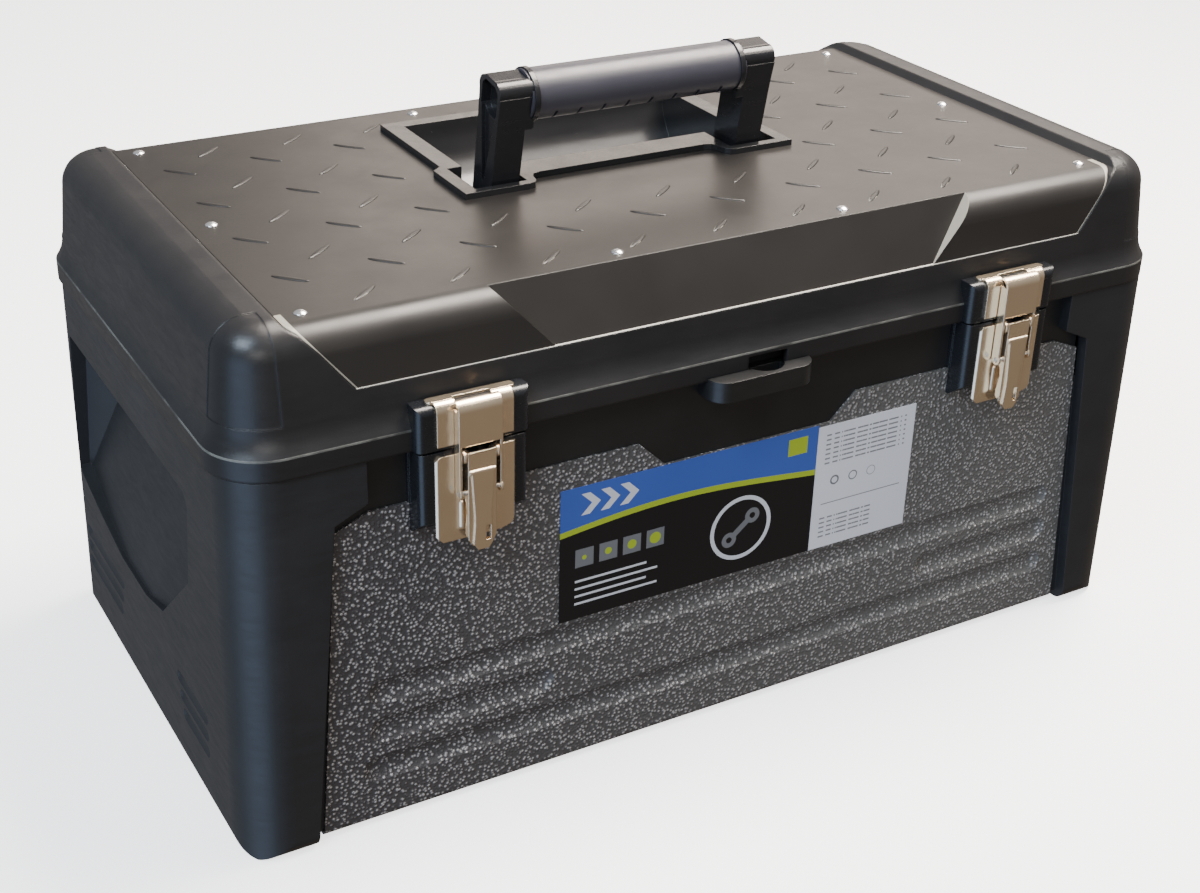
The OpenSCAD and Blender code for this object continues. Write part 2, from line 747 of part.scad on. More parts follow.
// moulded lid with its flange, walls, raised ends and the seat of the steel panel
module lid_frame() {
  color([0.09, 0.10, 0.11]) difference() {
    union() {
      difference() {
        union() {
          flare_solid();
          lid_block();
        }
        intersection() {
          along_y(flange_y) panel_outline();
          block([-flange_x, -flange_y, ledge_z], [flange_x, flange_y, lid_top + 9]);
          difference() {
            block([-flange_x, -flange_y, ledge_z], [flange_x, flange_y, lid_top + 9]);
            panel_solid(sheet_t);
          }
        }
        intersection() {
          plan_block(lid_x - wall, panel_y - sheet_t - shell_t, lid_r + 9, lid_z - 1, panel_z);
          along_y(flange_y) leaning(lid_x, lid_top, end_r, wall, lid_z - 9);
          panel_solid(sheet_t + shell_t);
        }
        plan_block(lid_x - wall, panel_y - sheet_t - shell_t, lid_r - wall, lid_z - 1, ledge_z - 8);
        plan_block(flange_x - wall, flange_y - wall, lid_r + wall_in - wall, lid_z - 1, lid_z + 7);
        lid_mouth();
        for (p = rivet_places)
          translate([p[0], p[1], panel_z - 9]) cylinder(d = rivet_d / 2, h = 18);
        block([-5, -flange_y - 1, lid_z - 1], [16, -lid_y + 1, lid_z + 7.5]);
      }
      for (s = [-1, 1]) translate([s * latch_x, 0, 0]) {
        bar_x(knuckle_r, -6.7, 6.7, hinge_y, hinge_z);
        block([-6.7, flange_y - 2.5, hinge_z], [6.7, hinge_y, hinge_z + knuckle_r]);
      }
    }
    for (s = [-1, 1])
      bar_x(hinge_pin_d / 2 + pin_play, s * latch_x - 9, s * latch_x + 9, hinge_y, hinge_z);
  }
}

// pressed steel top of the lid, bent down over its front and back
module tread_panel() {
  color([0.17, 0.155, 0.145]) difference() {
    intersection() {
      difference() {
        panel_solid(0);
        panel_solid(sheet_t);
      }
      along_y(flange_y) panel_outline();
      block([-flange_x, -flange_y, ledge_z], [flange_x, flange_y, panel_z + 1]);
    }
    bezel_well(shell_t + 0.3);
    for (p = rivet_places)
      translate([p[0], p[1], panel_z - 9]) cylinder(d = rivet_d / 2, h = 18);
  }
}

// one domed rivet through the panel and the moulding under it
module rivet(x, y) {
  r = (rivet_d * rivet_d / 4 + rivet_h * rivet_h) / (2 * rivet_h);
  translate([x, y, panel_z]) {
    intersection() {
      translate([0, 0, rivet_h - r]) sphere(r);
      cylinder(d = rivet_d, h = rivet_h);
    }
    translate([0, 0, -sheet_t - shell_t]) cylinder(d = rivet_d / 2, h = sheet_t + shell_t + 0.2);
  }
}

// the ten rivets that hold the steel panel
module panel_rivets() {
  color([0.75, 0.75, 0.75]) for (p = rivet_places) rivet(p[0], p[1]);
}

// hollow of the handle's well, grown by g on every side
module bezel_well(g) {
  intersection() {
    bar_x(scoop_r + g, -scoop_x - g, scoop_x + g, scoop_y, panel_z + bezel_h);
    block([-flange_x, -flange_y, 0], [flange_x, flange_y, panel_z + bezel_h + 1]);
  }
  for (s = [-1, 1]) {
    block([s > 0 ? well_in - g : -scoop_x - g, -well_front - g, well_z - g],
          [s > 0 ? scoop_x + g : g - well_in, 66 + g, panel_z + bezel_h + 1]);
    block([s > 0 ? well_in - g : -well_out - g, -well_front - g, well_z - g],
          [s > 0 ? well_out + g : g - well_in, 14 + g, panel_z + bezel_h + 1]);
  }
}

// moulded frame and scoop the handle folds into
module handle_bezel() {
  color([0.06, 0.065, 0.07]) difference() {
    union() {
      intersection() {
        bezel_well(shell_t);
        block([-flange_x, -flange_y, 0], [flange_x, flange_y, panel_z + 1]);
      }
      translate([0, 0, panel_z]) linear_extrude(bezel_h) polygon([
        [-86, 88], [-86, 18], [-91, 14], [-91, -21], [-57.5, -21], [-54.5, -20.2], [-52.8, -17.8],
        [-51.6, -12.6], [-50, -9.8], [-46.5, -8.5], [46.5, -8.5], [50, -9.8], [51.6, -12.6],
        [52.8, -17.8], [54.5, -20.2], [57.5, -21], [91, -21], [91, 14], [86, 18], [86, 88]
      ]);
    }
    bezel_well(0);
    bar_x(pivot_d / 2 + pin_play, -well_out - 9, well_out + 9, -pivot_front, pivot_z);
  }
}

// side shape of one leg, with its pivot at the middle of the drawing
module leg_shape() {
  circle(9);
  polygon([[-9.3, 0], [-9.9, reach - 8], [-10.6, reach + 4], [10.6, reach + 2], [9.6, reach - 12], [9, 0]]);
  for (p = [[-4.6, reach + 5], [5.4, reach + 4]]) translate(p) circle(5.6);
  translate([-4.6, reach - 2]) square([10, 12.4]);
}

// leg of the handle with a rounded head and a hollow in its outer face
module handle_leg_left() {
  color([0.05, 0.055, 0.06]) translate([0, -pivot_front, pivot_z]) rotate([lean, 0, 0]) difference() {
    union() {
      along_x_at(-leg_out, leg_t) leg_shape();
      intersection() {
        along_x_at(-leg_out, leg_t + 4.3) leg_shape();
        block([-leg_out - 1, -19, reach - head_r], [0, 19, reach + 19]);
      }
      bar_x(head_r, leg_t - leg_out + 3, leg_t - leg_out + 5.5, 0, reach);
    }
    bar_x(grip_r, leg_t - leg_out + 2, 0, 0, reach);
    bar_x(pivot_d / 2, -well_out - 9, 0, 0, 0);
    along_x_at(-leg_out - 1, 6) intersection() {
      translate([0, reach]) circle(9.2);
      translate([-7.8, reach - 9]) square([15.6, 17]);
    }
    along_x_at(-leg_out - 1, 3) polygon([[-7.2, reach - 5], [7.2, reach - 5], [0.6, 12], [-0.6, 12]]);
  }
}

// leg of the handle, the other hand
module handle_leg_right() {
  mirror([1, 0, 0]) handle_leg_left();
}

// round grip between the two heads
module handle_grip() {
  w = leg_out - leg_t - 2;
  color([0.30, 0.29, 0.32]) translate([0, -pivot_front, pivot_z]) rotate([lean, 0, 0]) difference() {
    bar_x(grip_r, -w, w, 0, reach);
    for (i = [0:7]) translate([12.9 * (i - 3.5), 0, reach]) rotate([38, 0, 0])
      block([-0.7, -grip_r - 1, -3.2], [0.7, -grip_r + 1.2, 3.2]);
  }
}

// two steel pins the handle turns on
module handle_pins() {
  color([0.6, 0.6, 0.6]) {
    bar_x(pivot_d / 2, -well_out - shell_t, leg_t - leg_out, -pivot_front, pivot_z);
    bar_x(pivot_d / 2, leg_out - leg_t, well_out + shell_t, -pivot_front, pivot_z);
  }
}

// lift-out tray with a carrying wall down its middle
module tote_tray() {
  top = tray_z + 24;
  foot = top - tray_h;
  color([0.13, 0.13, 0.14]) difference() {
    union() {
      difference() {
        plan_block(tray_x, tray_y, tray_r, foot, top);
        plan_block(tray_x - tray_t, tray_y - tray_t, tray_r - tray_t, foot + tray_t, top + 1);
      }
      plan_block(inner_x - 5, 60, 6, tray_z, tray_z + 3);
      block([-tray_x + 1, -1.5, foot + 1], [tray_x - 1, 1.5, top]);
      block([-62, -5, top - 10], [62, 5, top]);
      block([-70.5, -tray_y + 1, foot + 1], [-68.5, tray_y - 1, top - 14]);
      block([68.5, -tray_y + 1, foot + 1], [70.5, tray_y - 1, top - 14]);
    }
    difference() {
      block([-tray_x + tray_t, -61, tray_z - 1], [tray_x - tray_t, 61, tray_z + 4]);
      block([-tray_x, -1.5, 0], [tray_x, 1.5, top]);
      for (s = [-1, 1]) block([s * 69.5 - 1, -tray_y, 0], [s * 69.5 + 1, tray_y, top - 14]);
    }
    block([-55, -9, top - 40], [55, 9, top - 10]);
  }
}

end_cap_left();
end_cap_right();
steel_body();
rim_frame();
padlock_eye();
translate([-latch_x, 0, 0]) latch_block();  // latch_block_left
translate([latch_x, 0, 0]) latch_block();  // latch_block_right
translate([-latch_x, 0, 0]) latch_base();  // latch_base_left
translate([latch_x, 0, 0]) latch_base();  // latch_base_right
translate([-latch_x, 0, 0]) hinge_pin();  // hinge_pin_left
translate([latch_x, 0, 0]) hinge_pin();  // hinge_pin_right
front_label();
info_label();
lid_frame();
tread_panel();
panel_rivets();
handle_bezel();
translate([-latch_x, 0, 0]) keeper_block();  // keeper_block_left
translate([latch_x, 0, 0]) keeper_block();  // keeper_block_right
translate([-latch_x, 0, 0]) keeper();  // keeper_left
translate([latch_x, 0, 0]) keeper();  // keeper_right
handle_leg_left();
handle_leg_right();
handle_grip();
handle_pins();
translate([-latch_x, 0, 0]) lever();  // lever_left
translate([latch_x, 0, 0]) lever();  // lever_right
translate([-latch_x, 0, 0]) lever_pin();  // lever_pin_left
translate([latch_x, 0, 0]) lever_pin();  // lever_pin_right
translate([-latch_x, 0, 0]) bail();  // bail_left
translate([latch_x, 0, 0]) bail();  // bail_right
translate([-latch_x, 0, 0]) bail_pin();  // bail_pin_left
translate([latch_x, 0, 0]) bail_pin();  // bail_pin_right
tote_tray();
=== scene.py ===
import math

import bpy
from mathutils import Matrix, Vector


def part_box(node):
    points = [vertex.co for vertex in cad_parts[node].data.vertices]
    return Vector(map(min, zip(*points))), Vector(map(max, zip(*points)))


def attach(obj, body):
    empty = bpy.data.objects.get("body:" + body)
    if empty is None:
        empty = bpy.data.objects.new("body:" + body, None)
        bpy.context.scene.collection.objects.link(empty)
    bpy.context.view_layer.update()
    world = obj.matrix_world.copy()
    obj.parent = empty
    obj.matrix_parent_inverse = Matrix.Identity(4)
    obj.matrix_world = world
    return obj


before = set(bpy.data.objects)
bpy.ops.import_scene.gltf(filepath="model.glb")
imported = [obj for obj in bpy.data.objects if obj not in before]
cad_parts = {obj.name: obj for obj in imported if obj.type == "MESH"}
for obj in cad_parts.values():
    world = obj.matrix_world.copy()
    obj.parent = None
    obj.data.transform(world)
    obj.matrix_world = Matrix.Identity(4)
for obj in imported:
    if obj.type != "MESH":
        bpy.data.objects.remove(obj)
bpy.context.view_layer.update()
bpy.ops.object.select_all(action="DESELECT")

# ---------------------------------------------------------------- camera, floor and light
# The camera stands before the left corner and looks down on the case.
# The floor is plain and pale; it neither lights the case nor is mirrored in it.
# The main light hangs over the lid, and the dim room has a cool glow low at the front left.

look_at = Vector((-0.00347, 0.0, 0.08922))
camera_distance = 0.9598
camera_turn = math.radians(-30.471)
camera_rise = math.radians(28.181)
camera_roll = math.radians(1.661)
back = Vector((math.sin(camera_turn) * math.cos(camera_rise),
               -math.cos(camera_turn) * math.cos(camera_rise),
               math.sin(camera_rise)))
level = Vector((math.cos(camera_turn), math.sin(camera_turn), 0.0))
upright = back.cross(level)
side = math.cos(camera_roll) * level + math.sin(camera_roll) * upright
top = -math.sin(camera_roll) * level + math.cos(camera_roll) * upright
place = look_at + camera_distance * back

bpy.ops.object.camera_add(location=place)
camera = bpy.context.object
camera.data.lens = 54.19
camera.data.sensor_width = 36.0
camera.data.clip_start = 0.01
camera.matrix_world = Matrix((
    (side.x, top.x, back.x, place.x),
    (side.y, top.y, back.y, place.y),
    (side.z, top.z, back.z, place.z),
    (0, 0, 0, 1)))
bpy.context.scene.camera = camera


def finish(name, colour, rough, metal=0.0, gloss=0.5):
    """A plain finish; returns the material, its node tree and its shader."""
    material = bpy.data.materials.new(name)
    material.use_nodes = True
    tree = material.node_tree
    shader = tree.nodes["Principled BSDF"]
    shader.inputs["Base Color"].default_value = (*colour, 1)
    shader.inputs["Roughness"].default_value = rough
    shader.inputs["Metallic"].default_value = metal
    shader.inputs["Specular IOR Level"].default_value = gloss
    return material, tree, shader


floor_size, floor_drop, floor_glow = 30, 0.0002, 2.0
bpy.ops.mesh.primitive_plane_add(size=floor_size, location=(0, 0, -floor_drop))
floor = bpy.context.object
floor.name = "floor"
pale, _, pale_shader = finish("pale_floor", (0.9, 0.9, 0.9), 0.9, gloss=0.1)
pale_shader.inputs["Emission Color"].default_value = (1, 1, 1, 1)
pale_shader.inputs["Emission Strength"].default_value = floor_glow
floor.data.materials.append(pale)
floor.visible_glossy = False
floor.visible_diffuse = False


def panel_light(name, at, towards, width, height, power, colour):
    """A soft rectangular light aimed at a point; sizes in metres, power in watts."""
    bpy.ops.object.light_add(type="AREA", location=at)
    light = bpy.context.object
    light.name = name
    light.data.shape = "RECTANGLE"
    light.data.size = width
    light.data.size_y = height
    light.data.energy = power
    light.data.color = colour
    light.rotation_euler = (Vector(towards) - Vector(at)).to_track_quat("-Z", "Y").to_euler()


panel_light("light_behind", (1.15, 1.6, 1.1), (0, 0, 0.2), 1.4, 0.8, 9, (1.0, 0.85, 0.73))
panel_light("light_over", (0.75, 0.06, 1.65), (0.0, -0.05, 0.22), 0.95, 1.0, 112, (1.0, 0.91, 0.82))
panel_light("light_left", (-1.27, -0.66, 1.50), (-0.2, -0.05, 0.15), 0.9, 0.9, 34, (0.70, 0.84, 1.0))
panel_light("light_scoop", (0.85, -0.80, 1.60), (0, 0.05, 0.22), 0.5, 0.5, 7, (1.0, 0.93, 0.85))
panel_light("light_front", (-0.9, -2.2, 0.9), (0, 0, 0.12), 1.4, 0.9, 13, (1.0, 0.97, 0.93))


def split(tree, vector):
    """The three parts of a vector."""
    parts = tree.nodes.new("ShaderNodeSeparateXYZ")
    tree.links.new(vector, parts.inputs[0])
    return parts.outputs["X"], parts.outputs["Y"], parts.outputs["Z"]


def spread(tree, value, low, high, to_low=0.0, to_high=1.0):
    """A value stretched from low..high to another range, and held there."""
    stretch = tree.nodes.new("ShaderNodeMapRange")
    stretch.inputs["From Min"].default_value = low
    stretch.inputs["From Max"].default_value = high
    stretch.inputs["To Min"].default_value = to_low
    stretch.inputs["To Max"].default_value = to_high
    tree.links.new(value, stretch.inputs["Value"])
    return stretch.outputs["Result"]


def blended(tree, factor, first, second):
    """Two colours or colour outputs mixed by a factor output."""
    mix = tree.nodes.new("ShaderNodeMix")
    mix.data_type = "RGBA"
    tree.links.new(factor, mix.inputs["Factor"])
    for key, value in (("A", first), ("B", second)):
        if isinstance(value, tuple):
            mix.inputs[key].default_value = (*value, 1)
        else:
            tree.links.new(value, mix.inputs[key])
    return mix.outputs["Result"]


room_low, room_high, room_left = (0.25, 0.20, 0.155), (0.34, 0.34, 0.35), (0.40, 0.43, 0.48)
glow_way, glow_colour = (-0.80, -0.47, -0.38), (1.5, 2.0, 2.9)
glow_rim, glow_core = 0.86, 0.96
room_strength = 0.8

world = bpy.data.worlds.new("room")
bpy.context.scene.world = world
world.use_nodes = True
room = world.node_tree
room_way = room.nodes.new("ShaderNodeTexCoord").outputs["Generated"]
way_x, _, way_z = split(room, room_way)
shade = blended(room, spread(room, way_z, -0.5, 0.5), room_low, room_high)
shade = blended(room, spread(room, way_x, 0.1, -0.6), shade, room_left)
towards_glow = room.nodes.new("ShaderNodeVectorMath")
towards_glow.operation = "DOT_PRODUCT"
towards_glow.inputs[1].default_value = glow_way
room.links.new(room_way, towards_glow.inputs[0])
glow = spread(room, towards_glow.outputs["Value"], glow_rim, glow_core)
room_light = room.nodes["Background"]
room.links.new(blended(room, glow, shade, glow_colour), room_light.inputs["Color"])
room_light.inputs["Strength"].default_value = room_strength

# ---------------------------------------------------------------- end caps
# The two moulded ends of the body, polypropylene with a fine spark-eroded grain.
# Each is one moulding with a hand pocket; the steel shell lies in its rebates.


def at_object(tree, scale=(1, 1, 1), turn=(0, 0, 0), move=(0, 0, 0)):
    """Object coordinates, scaled, turned and moved, as a vector output."""
    coordinates = tree.nodes.new("ShaderNodeTexCoord")
    mapping = tree.nodes.new("ShaderNodeMapping")
    mapping.inputs["Scale"].default_value = scale
    mapping.inputs["Rotation"].default_value = turn
    mapping.inputs["Location"].default_value = move
    tree.links.new(coordinates.outputs["Object"], mapping.inputs["Vector"])
    return mapping.outputs["Vector"]


def noise(tree, vector, scale, detail, rough=0.55, warp=0.0):
    """Noise over a vector; the scale is about how many spots lie on a metre."""
    spots = tree.nodes.new("ShaderNodeTexNoise")
    spots.inputs["Scale"].default_value = scale
    spots.inputs["Detail"].default_value = detail
    spots.inputs["Roughness"].default_value = rough
    spots.inputs["Distortion"].default_value = warp
    tree.links.new(vector, spots.inputs["Vector"])
    return spots.outputs["Fac"]


def relief(tree, shader, height, depth, strength, edge=0.0005):
    """Bump of a given depth in metres, over edges softened by a small radius."""
    soft = tree.nodes.new("ShaderNodeBevel")
    soft.samples = 4
    soft.inputs["Radius"].default_value = edge
    bump = tree.nodes.new("ShaderNodeBump")
    bump.inputs["Strength"].default_value = strength
    bump.inputs["Distance"].default_value = depth
    tree.links.new(soft.outputs["Normal"], bump.inputs["Normal"])
    tree.links.new(height, bump.inputs["Height"])
    tree.links.new(bump.outputs["Normal"], shader.inputs["Normal"])


def dress(material, *names):
    """Gives CAD nodes a material in place of their own."""
    for name in names:
        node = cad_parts[name]
        node.data.materials.clear()
        node.data.materials.append(material)


def moulded_plastic(name, colour, worn, rough, edge=0.0005):
    """Grained plastic with faint handling marks and softened edges."""
    material, tree, shader = finish(name, colour, rough)
    marks = noise(tree, at_object(tree), scale=14, detail=4, rough=0.6)
    tree.links.new(blended(tree, spread(tree, marks, 0.4, 0.8), colour, worn),
                   shader.inputs["Base Color"])
    streaks = at_object(tree, scale=(1, 1, 5), turn=(0.3, 0.2, 0.4))
    wear_and_highlight = noise(tree, streaks, scale=60, detail=5, rough=0.7, warp=0.6)
    tree.links.new(spread(tree, wear_and_highlight, 0.35, 0.75, rough - 0.05, rough + 0.1),
                   shader.inputs["Roughness"])
    grain = noise(tree, at_object(tree), scale=1300, detail=2, rough=0.5)
    relief(tree, shader, grain, depth=0.00006, strength=0.6, edge=edge)
    return material


dress(moulded_plastic("cap_plastic", (0.017, 0.018, 0.020), (0.026, 0.027, 0.030), 0.42),
      "end_cap_left", "end_cap_right")

# ---------------------------------------------------------------- steel shell
# One pressed sheet bent into front, floor and back, with pressed beads along the front.
# It is coated in dark hammer paint with small bright dots; its ground is painted paler to the right as a
# painted sheen.

dots_per_metre, dot_colour = 520, (0.50, 0.48, 0.47)
ground_without_sheen, ground_with_painted_sheen = (0.066, 0.061, 0.064), (0.150, 0.148, 0.142)
sheen_fade_from, sheen_fade_to = -0.22, 0.12

hammer_paint, tree, shader = finish("hammer_steel", (0.03, 0.029, 0.031), 0.3, metal=0.3)
dots = tree.nodes.new("ShaderNodeTexVoronoi")
dots.feature = "SMOOTH_F1"
dots.inputs["Scale"].default_value = dots_per_metre
dots.inputs["Smoothness"].default_value = 0.25
tree.links.new(at_object(tree), dots.inputs["Vector"])
pebble = spread(tree, dots.outputs["Distance"], 0.0, 0.62, 1.0, 0.0)
speck = spread(tree, pebble, 0.28, 0.72)
x, _, _ = split(tree, at_object(tree))
# painted sheen: the ground colour grows paler from left to right
painted_sheen_ground = blended(tree, spread(tree, x, sheen_fade_from, sheen_fade_to), ground_without_sheen, ground_with_painted_sheen)
tree.links.new(blended(tree, speck, painted_sheen_ground, dot_colour), shader.inputs["Base Color"])
tree.links.new(spread(tree, pebble, 0.2, 0.9, 0.45, 0.25), shader.inputs["Roughness"])
relief(tree, shader, pebble, depth=0.0007, strength=0.9)
dress(hammer_paint, "steel_body")

# ---------------------------------------------------------------- rim frame and padlock eye
# The moulded ring round the body's mouth, whose front band carries the latches.
# The padlock eye stands out of the band and is of the same kind of plastic.

dress(moulded_plastic("band_plastic", (0.012, 0.0122, 0.0125), (0.018, 0.018, 0.018), 0.36),
      "rim_frame", "padlock_eye")

# ---------------------------------------------------------------- stickers
# A printed paper sticker and a plain white one beside it, both glued to the steel.
# Each print is a plain design, measured in metres from the sticker's lower left corner.


def sums(tree, kind, first, second=0):
    """One step of arithmetic on outputs or numbers."""
    step = tree.nodes.new("ShaderNodeMath")
    step.operation = kind
    for i, value in enumerate((first, second)):
        if isinstance(value, (int, float)):
            step.inputs[i].default_value = value
        else:
            tree.links.new(value, step.inputs[i])
    return step.outputs["Value"]


def held(tree, value, low, high):
    """1 where a value lies between two limits, else 0."""
    compare = tree.nodes.new("ShaderNodeMath")
    compare.operation = "COMPARE"
    compare.inputs[1].default_value = (low + high) / 2
    compare.inputs[2].default_value = (high - low) / 2
    tree.links.new(value, compare.inputs[0])
    return compare.outputs["Value"]


def patch(tree, across, up, left, right, foot, head):
    """1 inside a rectangle, else 0."""
    return sums(tree, "MULTIPLY", held(tree, across, left, right), held(tree, up, foot, head))


def ring(tree, across, up, mid_across, mid_up, inner, outer):
    """1 inside a ring, else 0."""
    aside = sums(tree, "SUBTRACT", across, mid_across)
    above = sums(tree, "SUBTRACT", up, mid_up)
    squares = sums(tree, "ADD", sums(tree, "MULTIPLY", aside, aside), sums(tree, "MULTIPLY", above, above))
    return held(tree, sums(tree, "SQRT", squares), inner, outer)


print_black, print_blue, print_lime = (0.010, 0.010, 0.011), (0.050, 0.105, 0.40), (0.36, 0.46, 0.03)
print_white, print_grey = (0.62, 0.63, 0.66), (0.16, 0.165, 0.175)
label_corner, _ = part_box("front_label")
printed_paper, tree, shader = finish("printed_paper", print_black, 0.3, gloss=0.4)
x, _, z = split(tree, at_object(tree, move=(-label_corner.x, 0, -label_corner.z)))

# a blue field over a waved lime line
line_foot, field_foot, field_head = 0.0448, 0.0478, 0.09
wave_height, wave_pace = 0.0045, 26
wave = sums(tree, "MULTIPLY", sums(tree, "SINE", sums(tree, "MULTIPLY", x, wave_pace)), wave_height)
height = sums(tree, "SUBTRACT", z, wave)
ink = blended(tree, held(tree, height, field_foot, field_head), print_black, print_blue)
ink = blended(tree, held(tree, height, line_foot, field_foot), ink, print_lime)

# three chevrons in the blue field
chevron_left, chevron_width, chevron_step = 0.016, 0.0045, 0.010
chevron_foot, chevron_middle, chevron_head = 0.0545, 0.0600, 0.0655
folded = sums(tree, "ADD", x, sums(tree, "ABSOLUTE", sums(tree, "SUBTRACT", z, chevron_middle)))
row = held(tree, z, chevron_foot, chevron_head)
for i in range(3):
    left = chevron_left + chevron_step * i
    chevron = sums(tree, "MULTIPLY", held(tree, folded, left, left + chevron_width), row)
    ink = blended(tree, chevron, ink, print_white)

# a ring with a two-ended spanner in it, turned by 40 degrees
ring_x, ring_z, ring_inner, ring_outer = 0.098, 0.0245, 0.0150, 0.0172
turn_cos, turn_sin = 0.766, 0.643
shaft_half, shaft_thin = 0.0068, 0.0016
eye_reach, eye_inner, eye_outer = 0.0082, 0.0016, 0.0041
ink = blended(tree, ring(tree, x, z, ring_x, ring_z, ring_inner, ring_outer), ink, print_white)
along = sums(tree, "ADD", sums(tree, "MULTIPLY", x, turn_cos), sums(tree, "MULTIPLY", z, turn_sin))
beside = sums(tree, "SUBTRACT", sums(tree, "MULTIPLY", z, turn_cos), sums(tree, "MULTIPLY", x, turn_sin))
mid_along = ring_x * turn_cos + ring_z * turn_sin
mid_beside = ring_z * turn_cos - ring_x * turn_sin
shaft = patch(tree, along, beside, mid_along - shaft_half, mid_along + shaft_half,
              mid_beside - shaft_thin, mid_beside + shaft_thin)
ink = blended(tree, shaft, ink, print_grey)
for end in (mid_along - eye_reach, mid_along + eye_reach):
    ink = blended(tree, ring(tree, along, beside, end, mid_beside, eye_inner, eye_outer), ink, print_grey)

# four squares with growing dots
square_left, square_foot, square_side, square_step = 0.008, 0.0275, 0.0095, 0.0125
dot_radius, dot_growth = 0.0012, 0.0006
for i in range(4):
    left = square_left + square_step * i
    middle_x, middle_z = left + square_side / 2, square_foot + square_side / 2
    square = patch(tree, x, z, left, left + square_side, square_foot, square_foot + square_side)
    ink = blended(tree, square, ink, print_grey)
    dot = ring(tree, x, z, middle_x, middle_z, 0.0, dot_radius + dot_growth * i)
    ink = blended(tree, dot, ink, print_lime)

# four bars, every second one shorter, and a lime square at the right
bar_left, bar_right, bar_shorter = 0.008, 0.052, 0.006
bar_foot, bar_height, bar_step = 0.0075, 0.0012, 0.004
for i in range(4):
    foot = bar_foot + bar_step * i
    bar = patch(tree, x, z, bar_left, bar_right - bar_shorter * (i % 2), foot, foot + bar_height)
    ink = blended(tree, bar, ink, print_white)
lime_square = patch(tree, x, z, left=0.1225, right=0.1335, foot=0.0565, head=0.0655)
ink = blended(tree, lime_square, ink, print_lime)
tree.links.new(ink, shader.inputs["Base Color"])
dress(printed_paper, "front_label")

# the white sticker: two blocks of dashed rows, a row of rings and a rule
dash_grey, ring_grey = (0.20, 0.20, 0.21), (0.16, 0.16, 0.17)
rows_per_metre, dashes_per_metre = 390, 700
ring_left, ring_height, ring_step = 0.012, 0.037, 0.011
ring_inner, ring_outer, ring_thinner = 0.0017, 0.0026, 0.0003
label_corner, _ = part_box("info_label")
white_paper, tree, shader = finish("white_paper", (0.7, 0.7, 0.72), 0.45, gloss=0.4)
x, _, z = split(tree, at_object(tree, move=(-label_corner.x, 0, -label_corner.z)))
rows = held(tree, sums(tree, "FRACT", sums(tree, "MULTIPLY", z, rows_per_metre)), 0.3, 0.62)
dashes = noise(tree, at_object(tree, scale=(1, 1, 0.001)), scale=dashes_per_metre, detail=1)
dashed_rows = sums(tree, "MULTIPLY", rows, spread(tree, dashes, 0.40, 0.42))
ink = (0.70, 0.70, 0.74)
for left, right, foot, head in ((0.005, 0.053, 0.046, 0.064), (0.005, 0.036, 0.005, 0.017)):
    block = sums(tree, "MULTIPLY", dashed_rows, patch(tree, x, z, left, right, foot, head))
    ink = blended(tree, block, ink, dash_grey)
for i in range(3):
    circle = ring(tree, x, z, ring_left + ring_step * i, ring_height,
                  ring_inner + ring_thinner * i, ring_outer)
    ink = blended(tree, circle, ink, ring_grey)
rule = patch(tree, x, z, left=0.005, right=0.053, foot=0.0245, head=0.0250)
tree.links.new(blended(tree, rule, ink, dash_grey), shader.inputs["Base Color"])
dress(white_paper, "info_label")

# ---------------------------------------------------------------- latches
# Two draw latches of nickel-plated steel on black plastic blocks.
# Base and keeper are riveted on; lever and bail turn on steel pins.

dress(moulded_plastic("block_plastic", (0.010, 0.011, 0.013), (0.014, 0.015, 0.018), 0.25),
      "latch_block_left", "latch_block_right", "keeper_block_left", "keeper_block_right")


def plated(name, colour, rough):
    """Bright metal with faint drawing lines and a cloudy polish."""
    material, tree, shader = finish(name, colour, rough, metal=0.92)
    cloud = noise(tree, at_object(tree), scale=90, detail=3, rough=0.6)
    tree.links.new(spread(tree, cloud, 0.3, 0.7, rough - 0.04, rough + 0.08),
                   shader.inputs["Roughness"])
    drawn = noise(tree, at_object(tree, scale=(1, 1, 0.06)), scale=900, detail=3, rough=0.6)
    relief(tree, shader, drawn, depth=0.00002, strength=0.15, edge=0.0006)
    return material


nickel = plated("nickel_plate", (0.92, 0.75, 0.54), 0.18)
pin_steel = plated("pin_steel", (0.62, 0.60, 0.58), 0.25)
for hand in ("left", "right"):
    dress(nickel, "latch_base_" + hand, "keeper_" + hand, "lever_" + hand, "bail_" + hand)
    dress(pin_steel, "lever_pin_" + hand, "bail_pin_" + hand, "hinge_pin_" + hand)

# ---------------------------------------------------------------- lid frame
# The moulded lid with its flange, hollow curve and raised rounded ends.
# The flange's top edge carries a thin painted highlight, broken up like wear, and the ledge under the
# steel panel's front carries a brighter painted highlight.

flange_edge, flange_line = 0.2000, 0.0005
ledge_edge, ledge_line, ledge_half = 0.2215, 0.0002, 0.191
ledge_front, ledge_back = -0.14, -0.11
flange_highlight_and_wear, ledge_painted_highlight = (0.15, 0.15, 0.135), (0.50, 0.48, 0.43)

lid_plastic = moulded_plastic("lid_plastic", (0.013, 0.013, 0.014), (0.022, 0.021, 0.021), 0.36,
                              edge=0.0016)
tree = lid_plastic.node_tree
shader = tree.nodes["Principled BSDF"]
x, y, z = split(tree, at_object(tree))
plain = shader.inputs["Base Color"].links[0].from_socket
handling = noise(tree, at_object(tree), scale=30, detail=4, rough=0.6)
# a thin painted highlight along the flange's top edge, broken up like wear by the noise
flange = sums(tree, "MULTIPLY", held(tree, z, flange_edge - flange_line, flange_edge + flange_line),
              spread(tree, handling, 0.42, 0.58, 0.25, 1.0))
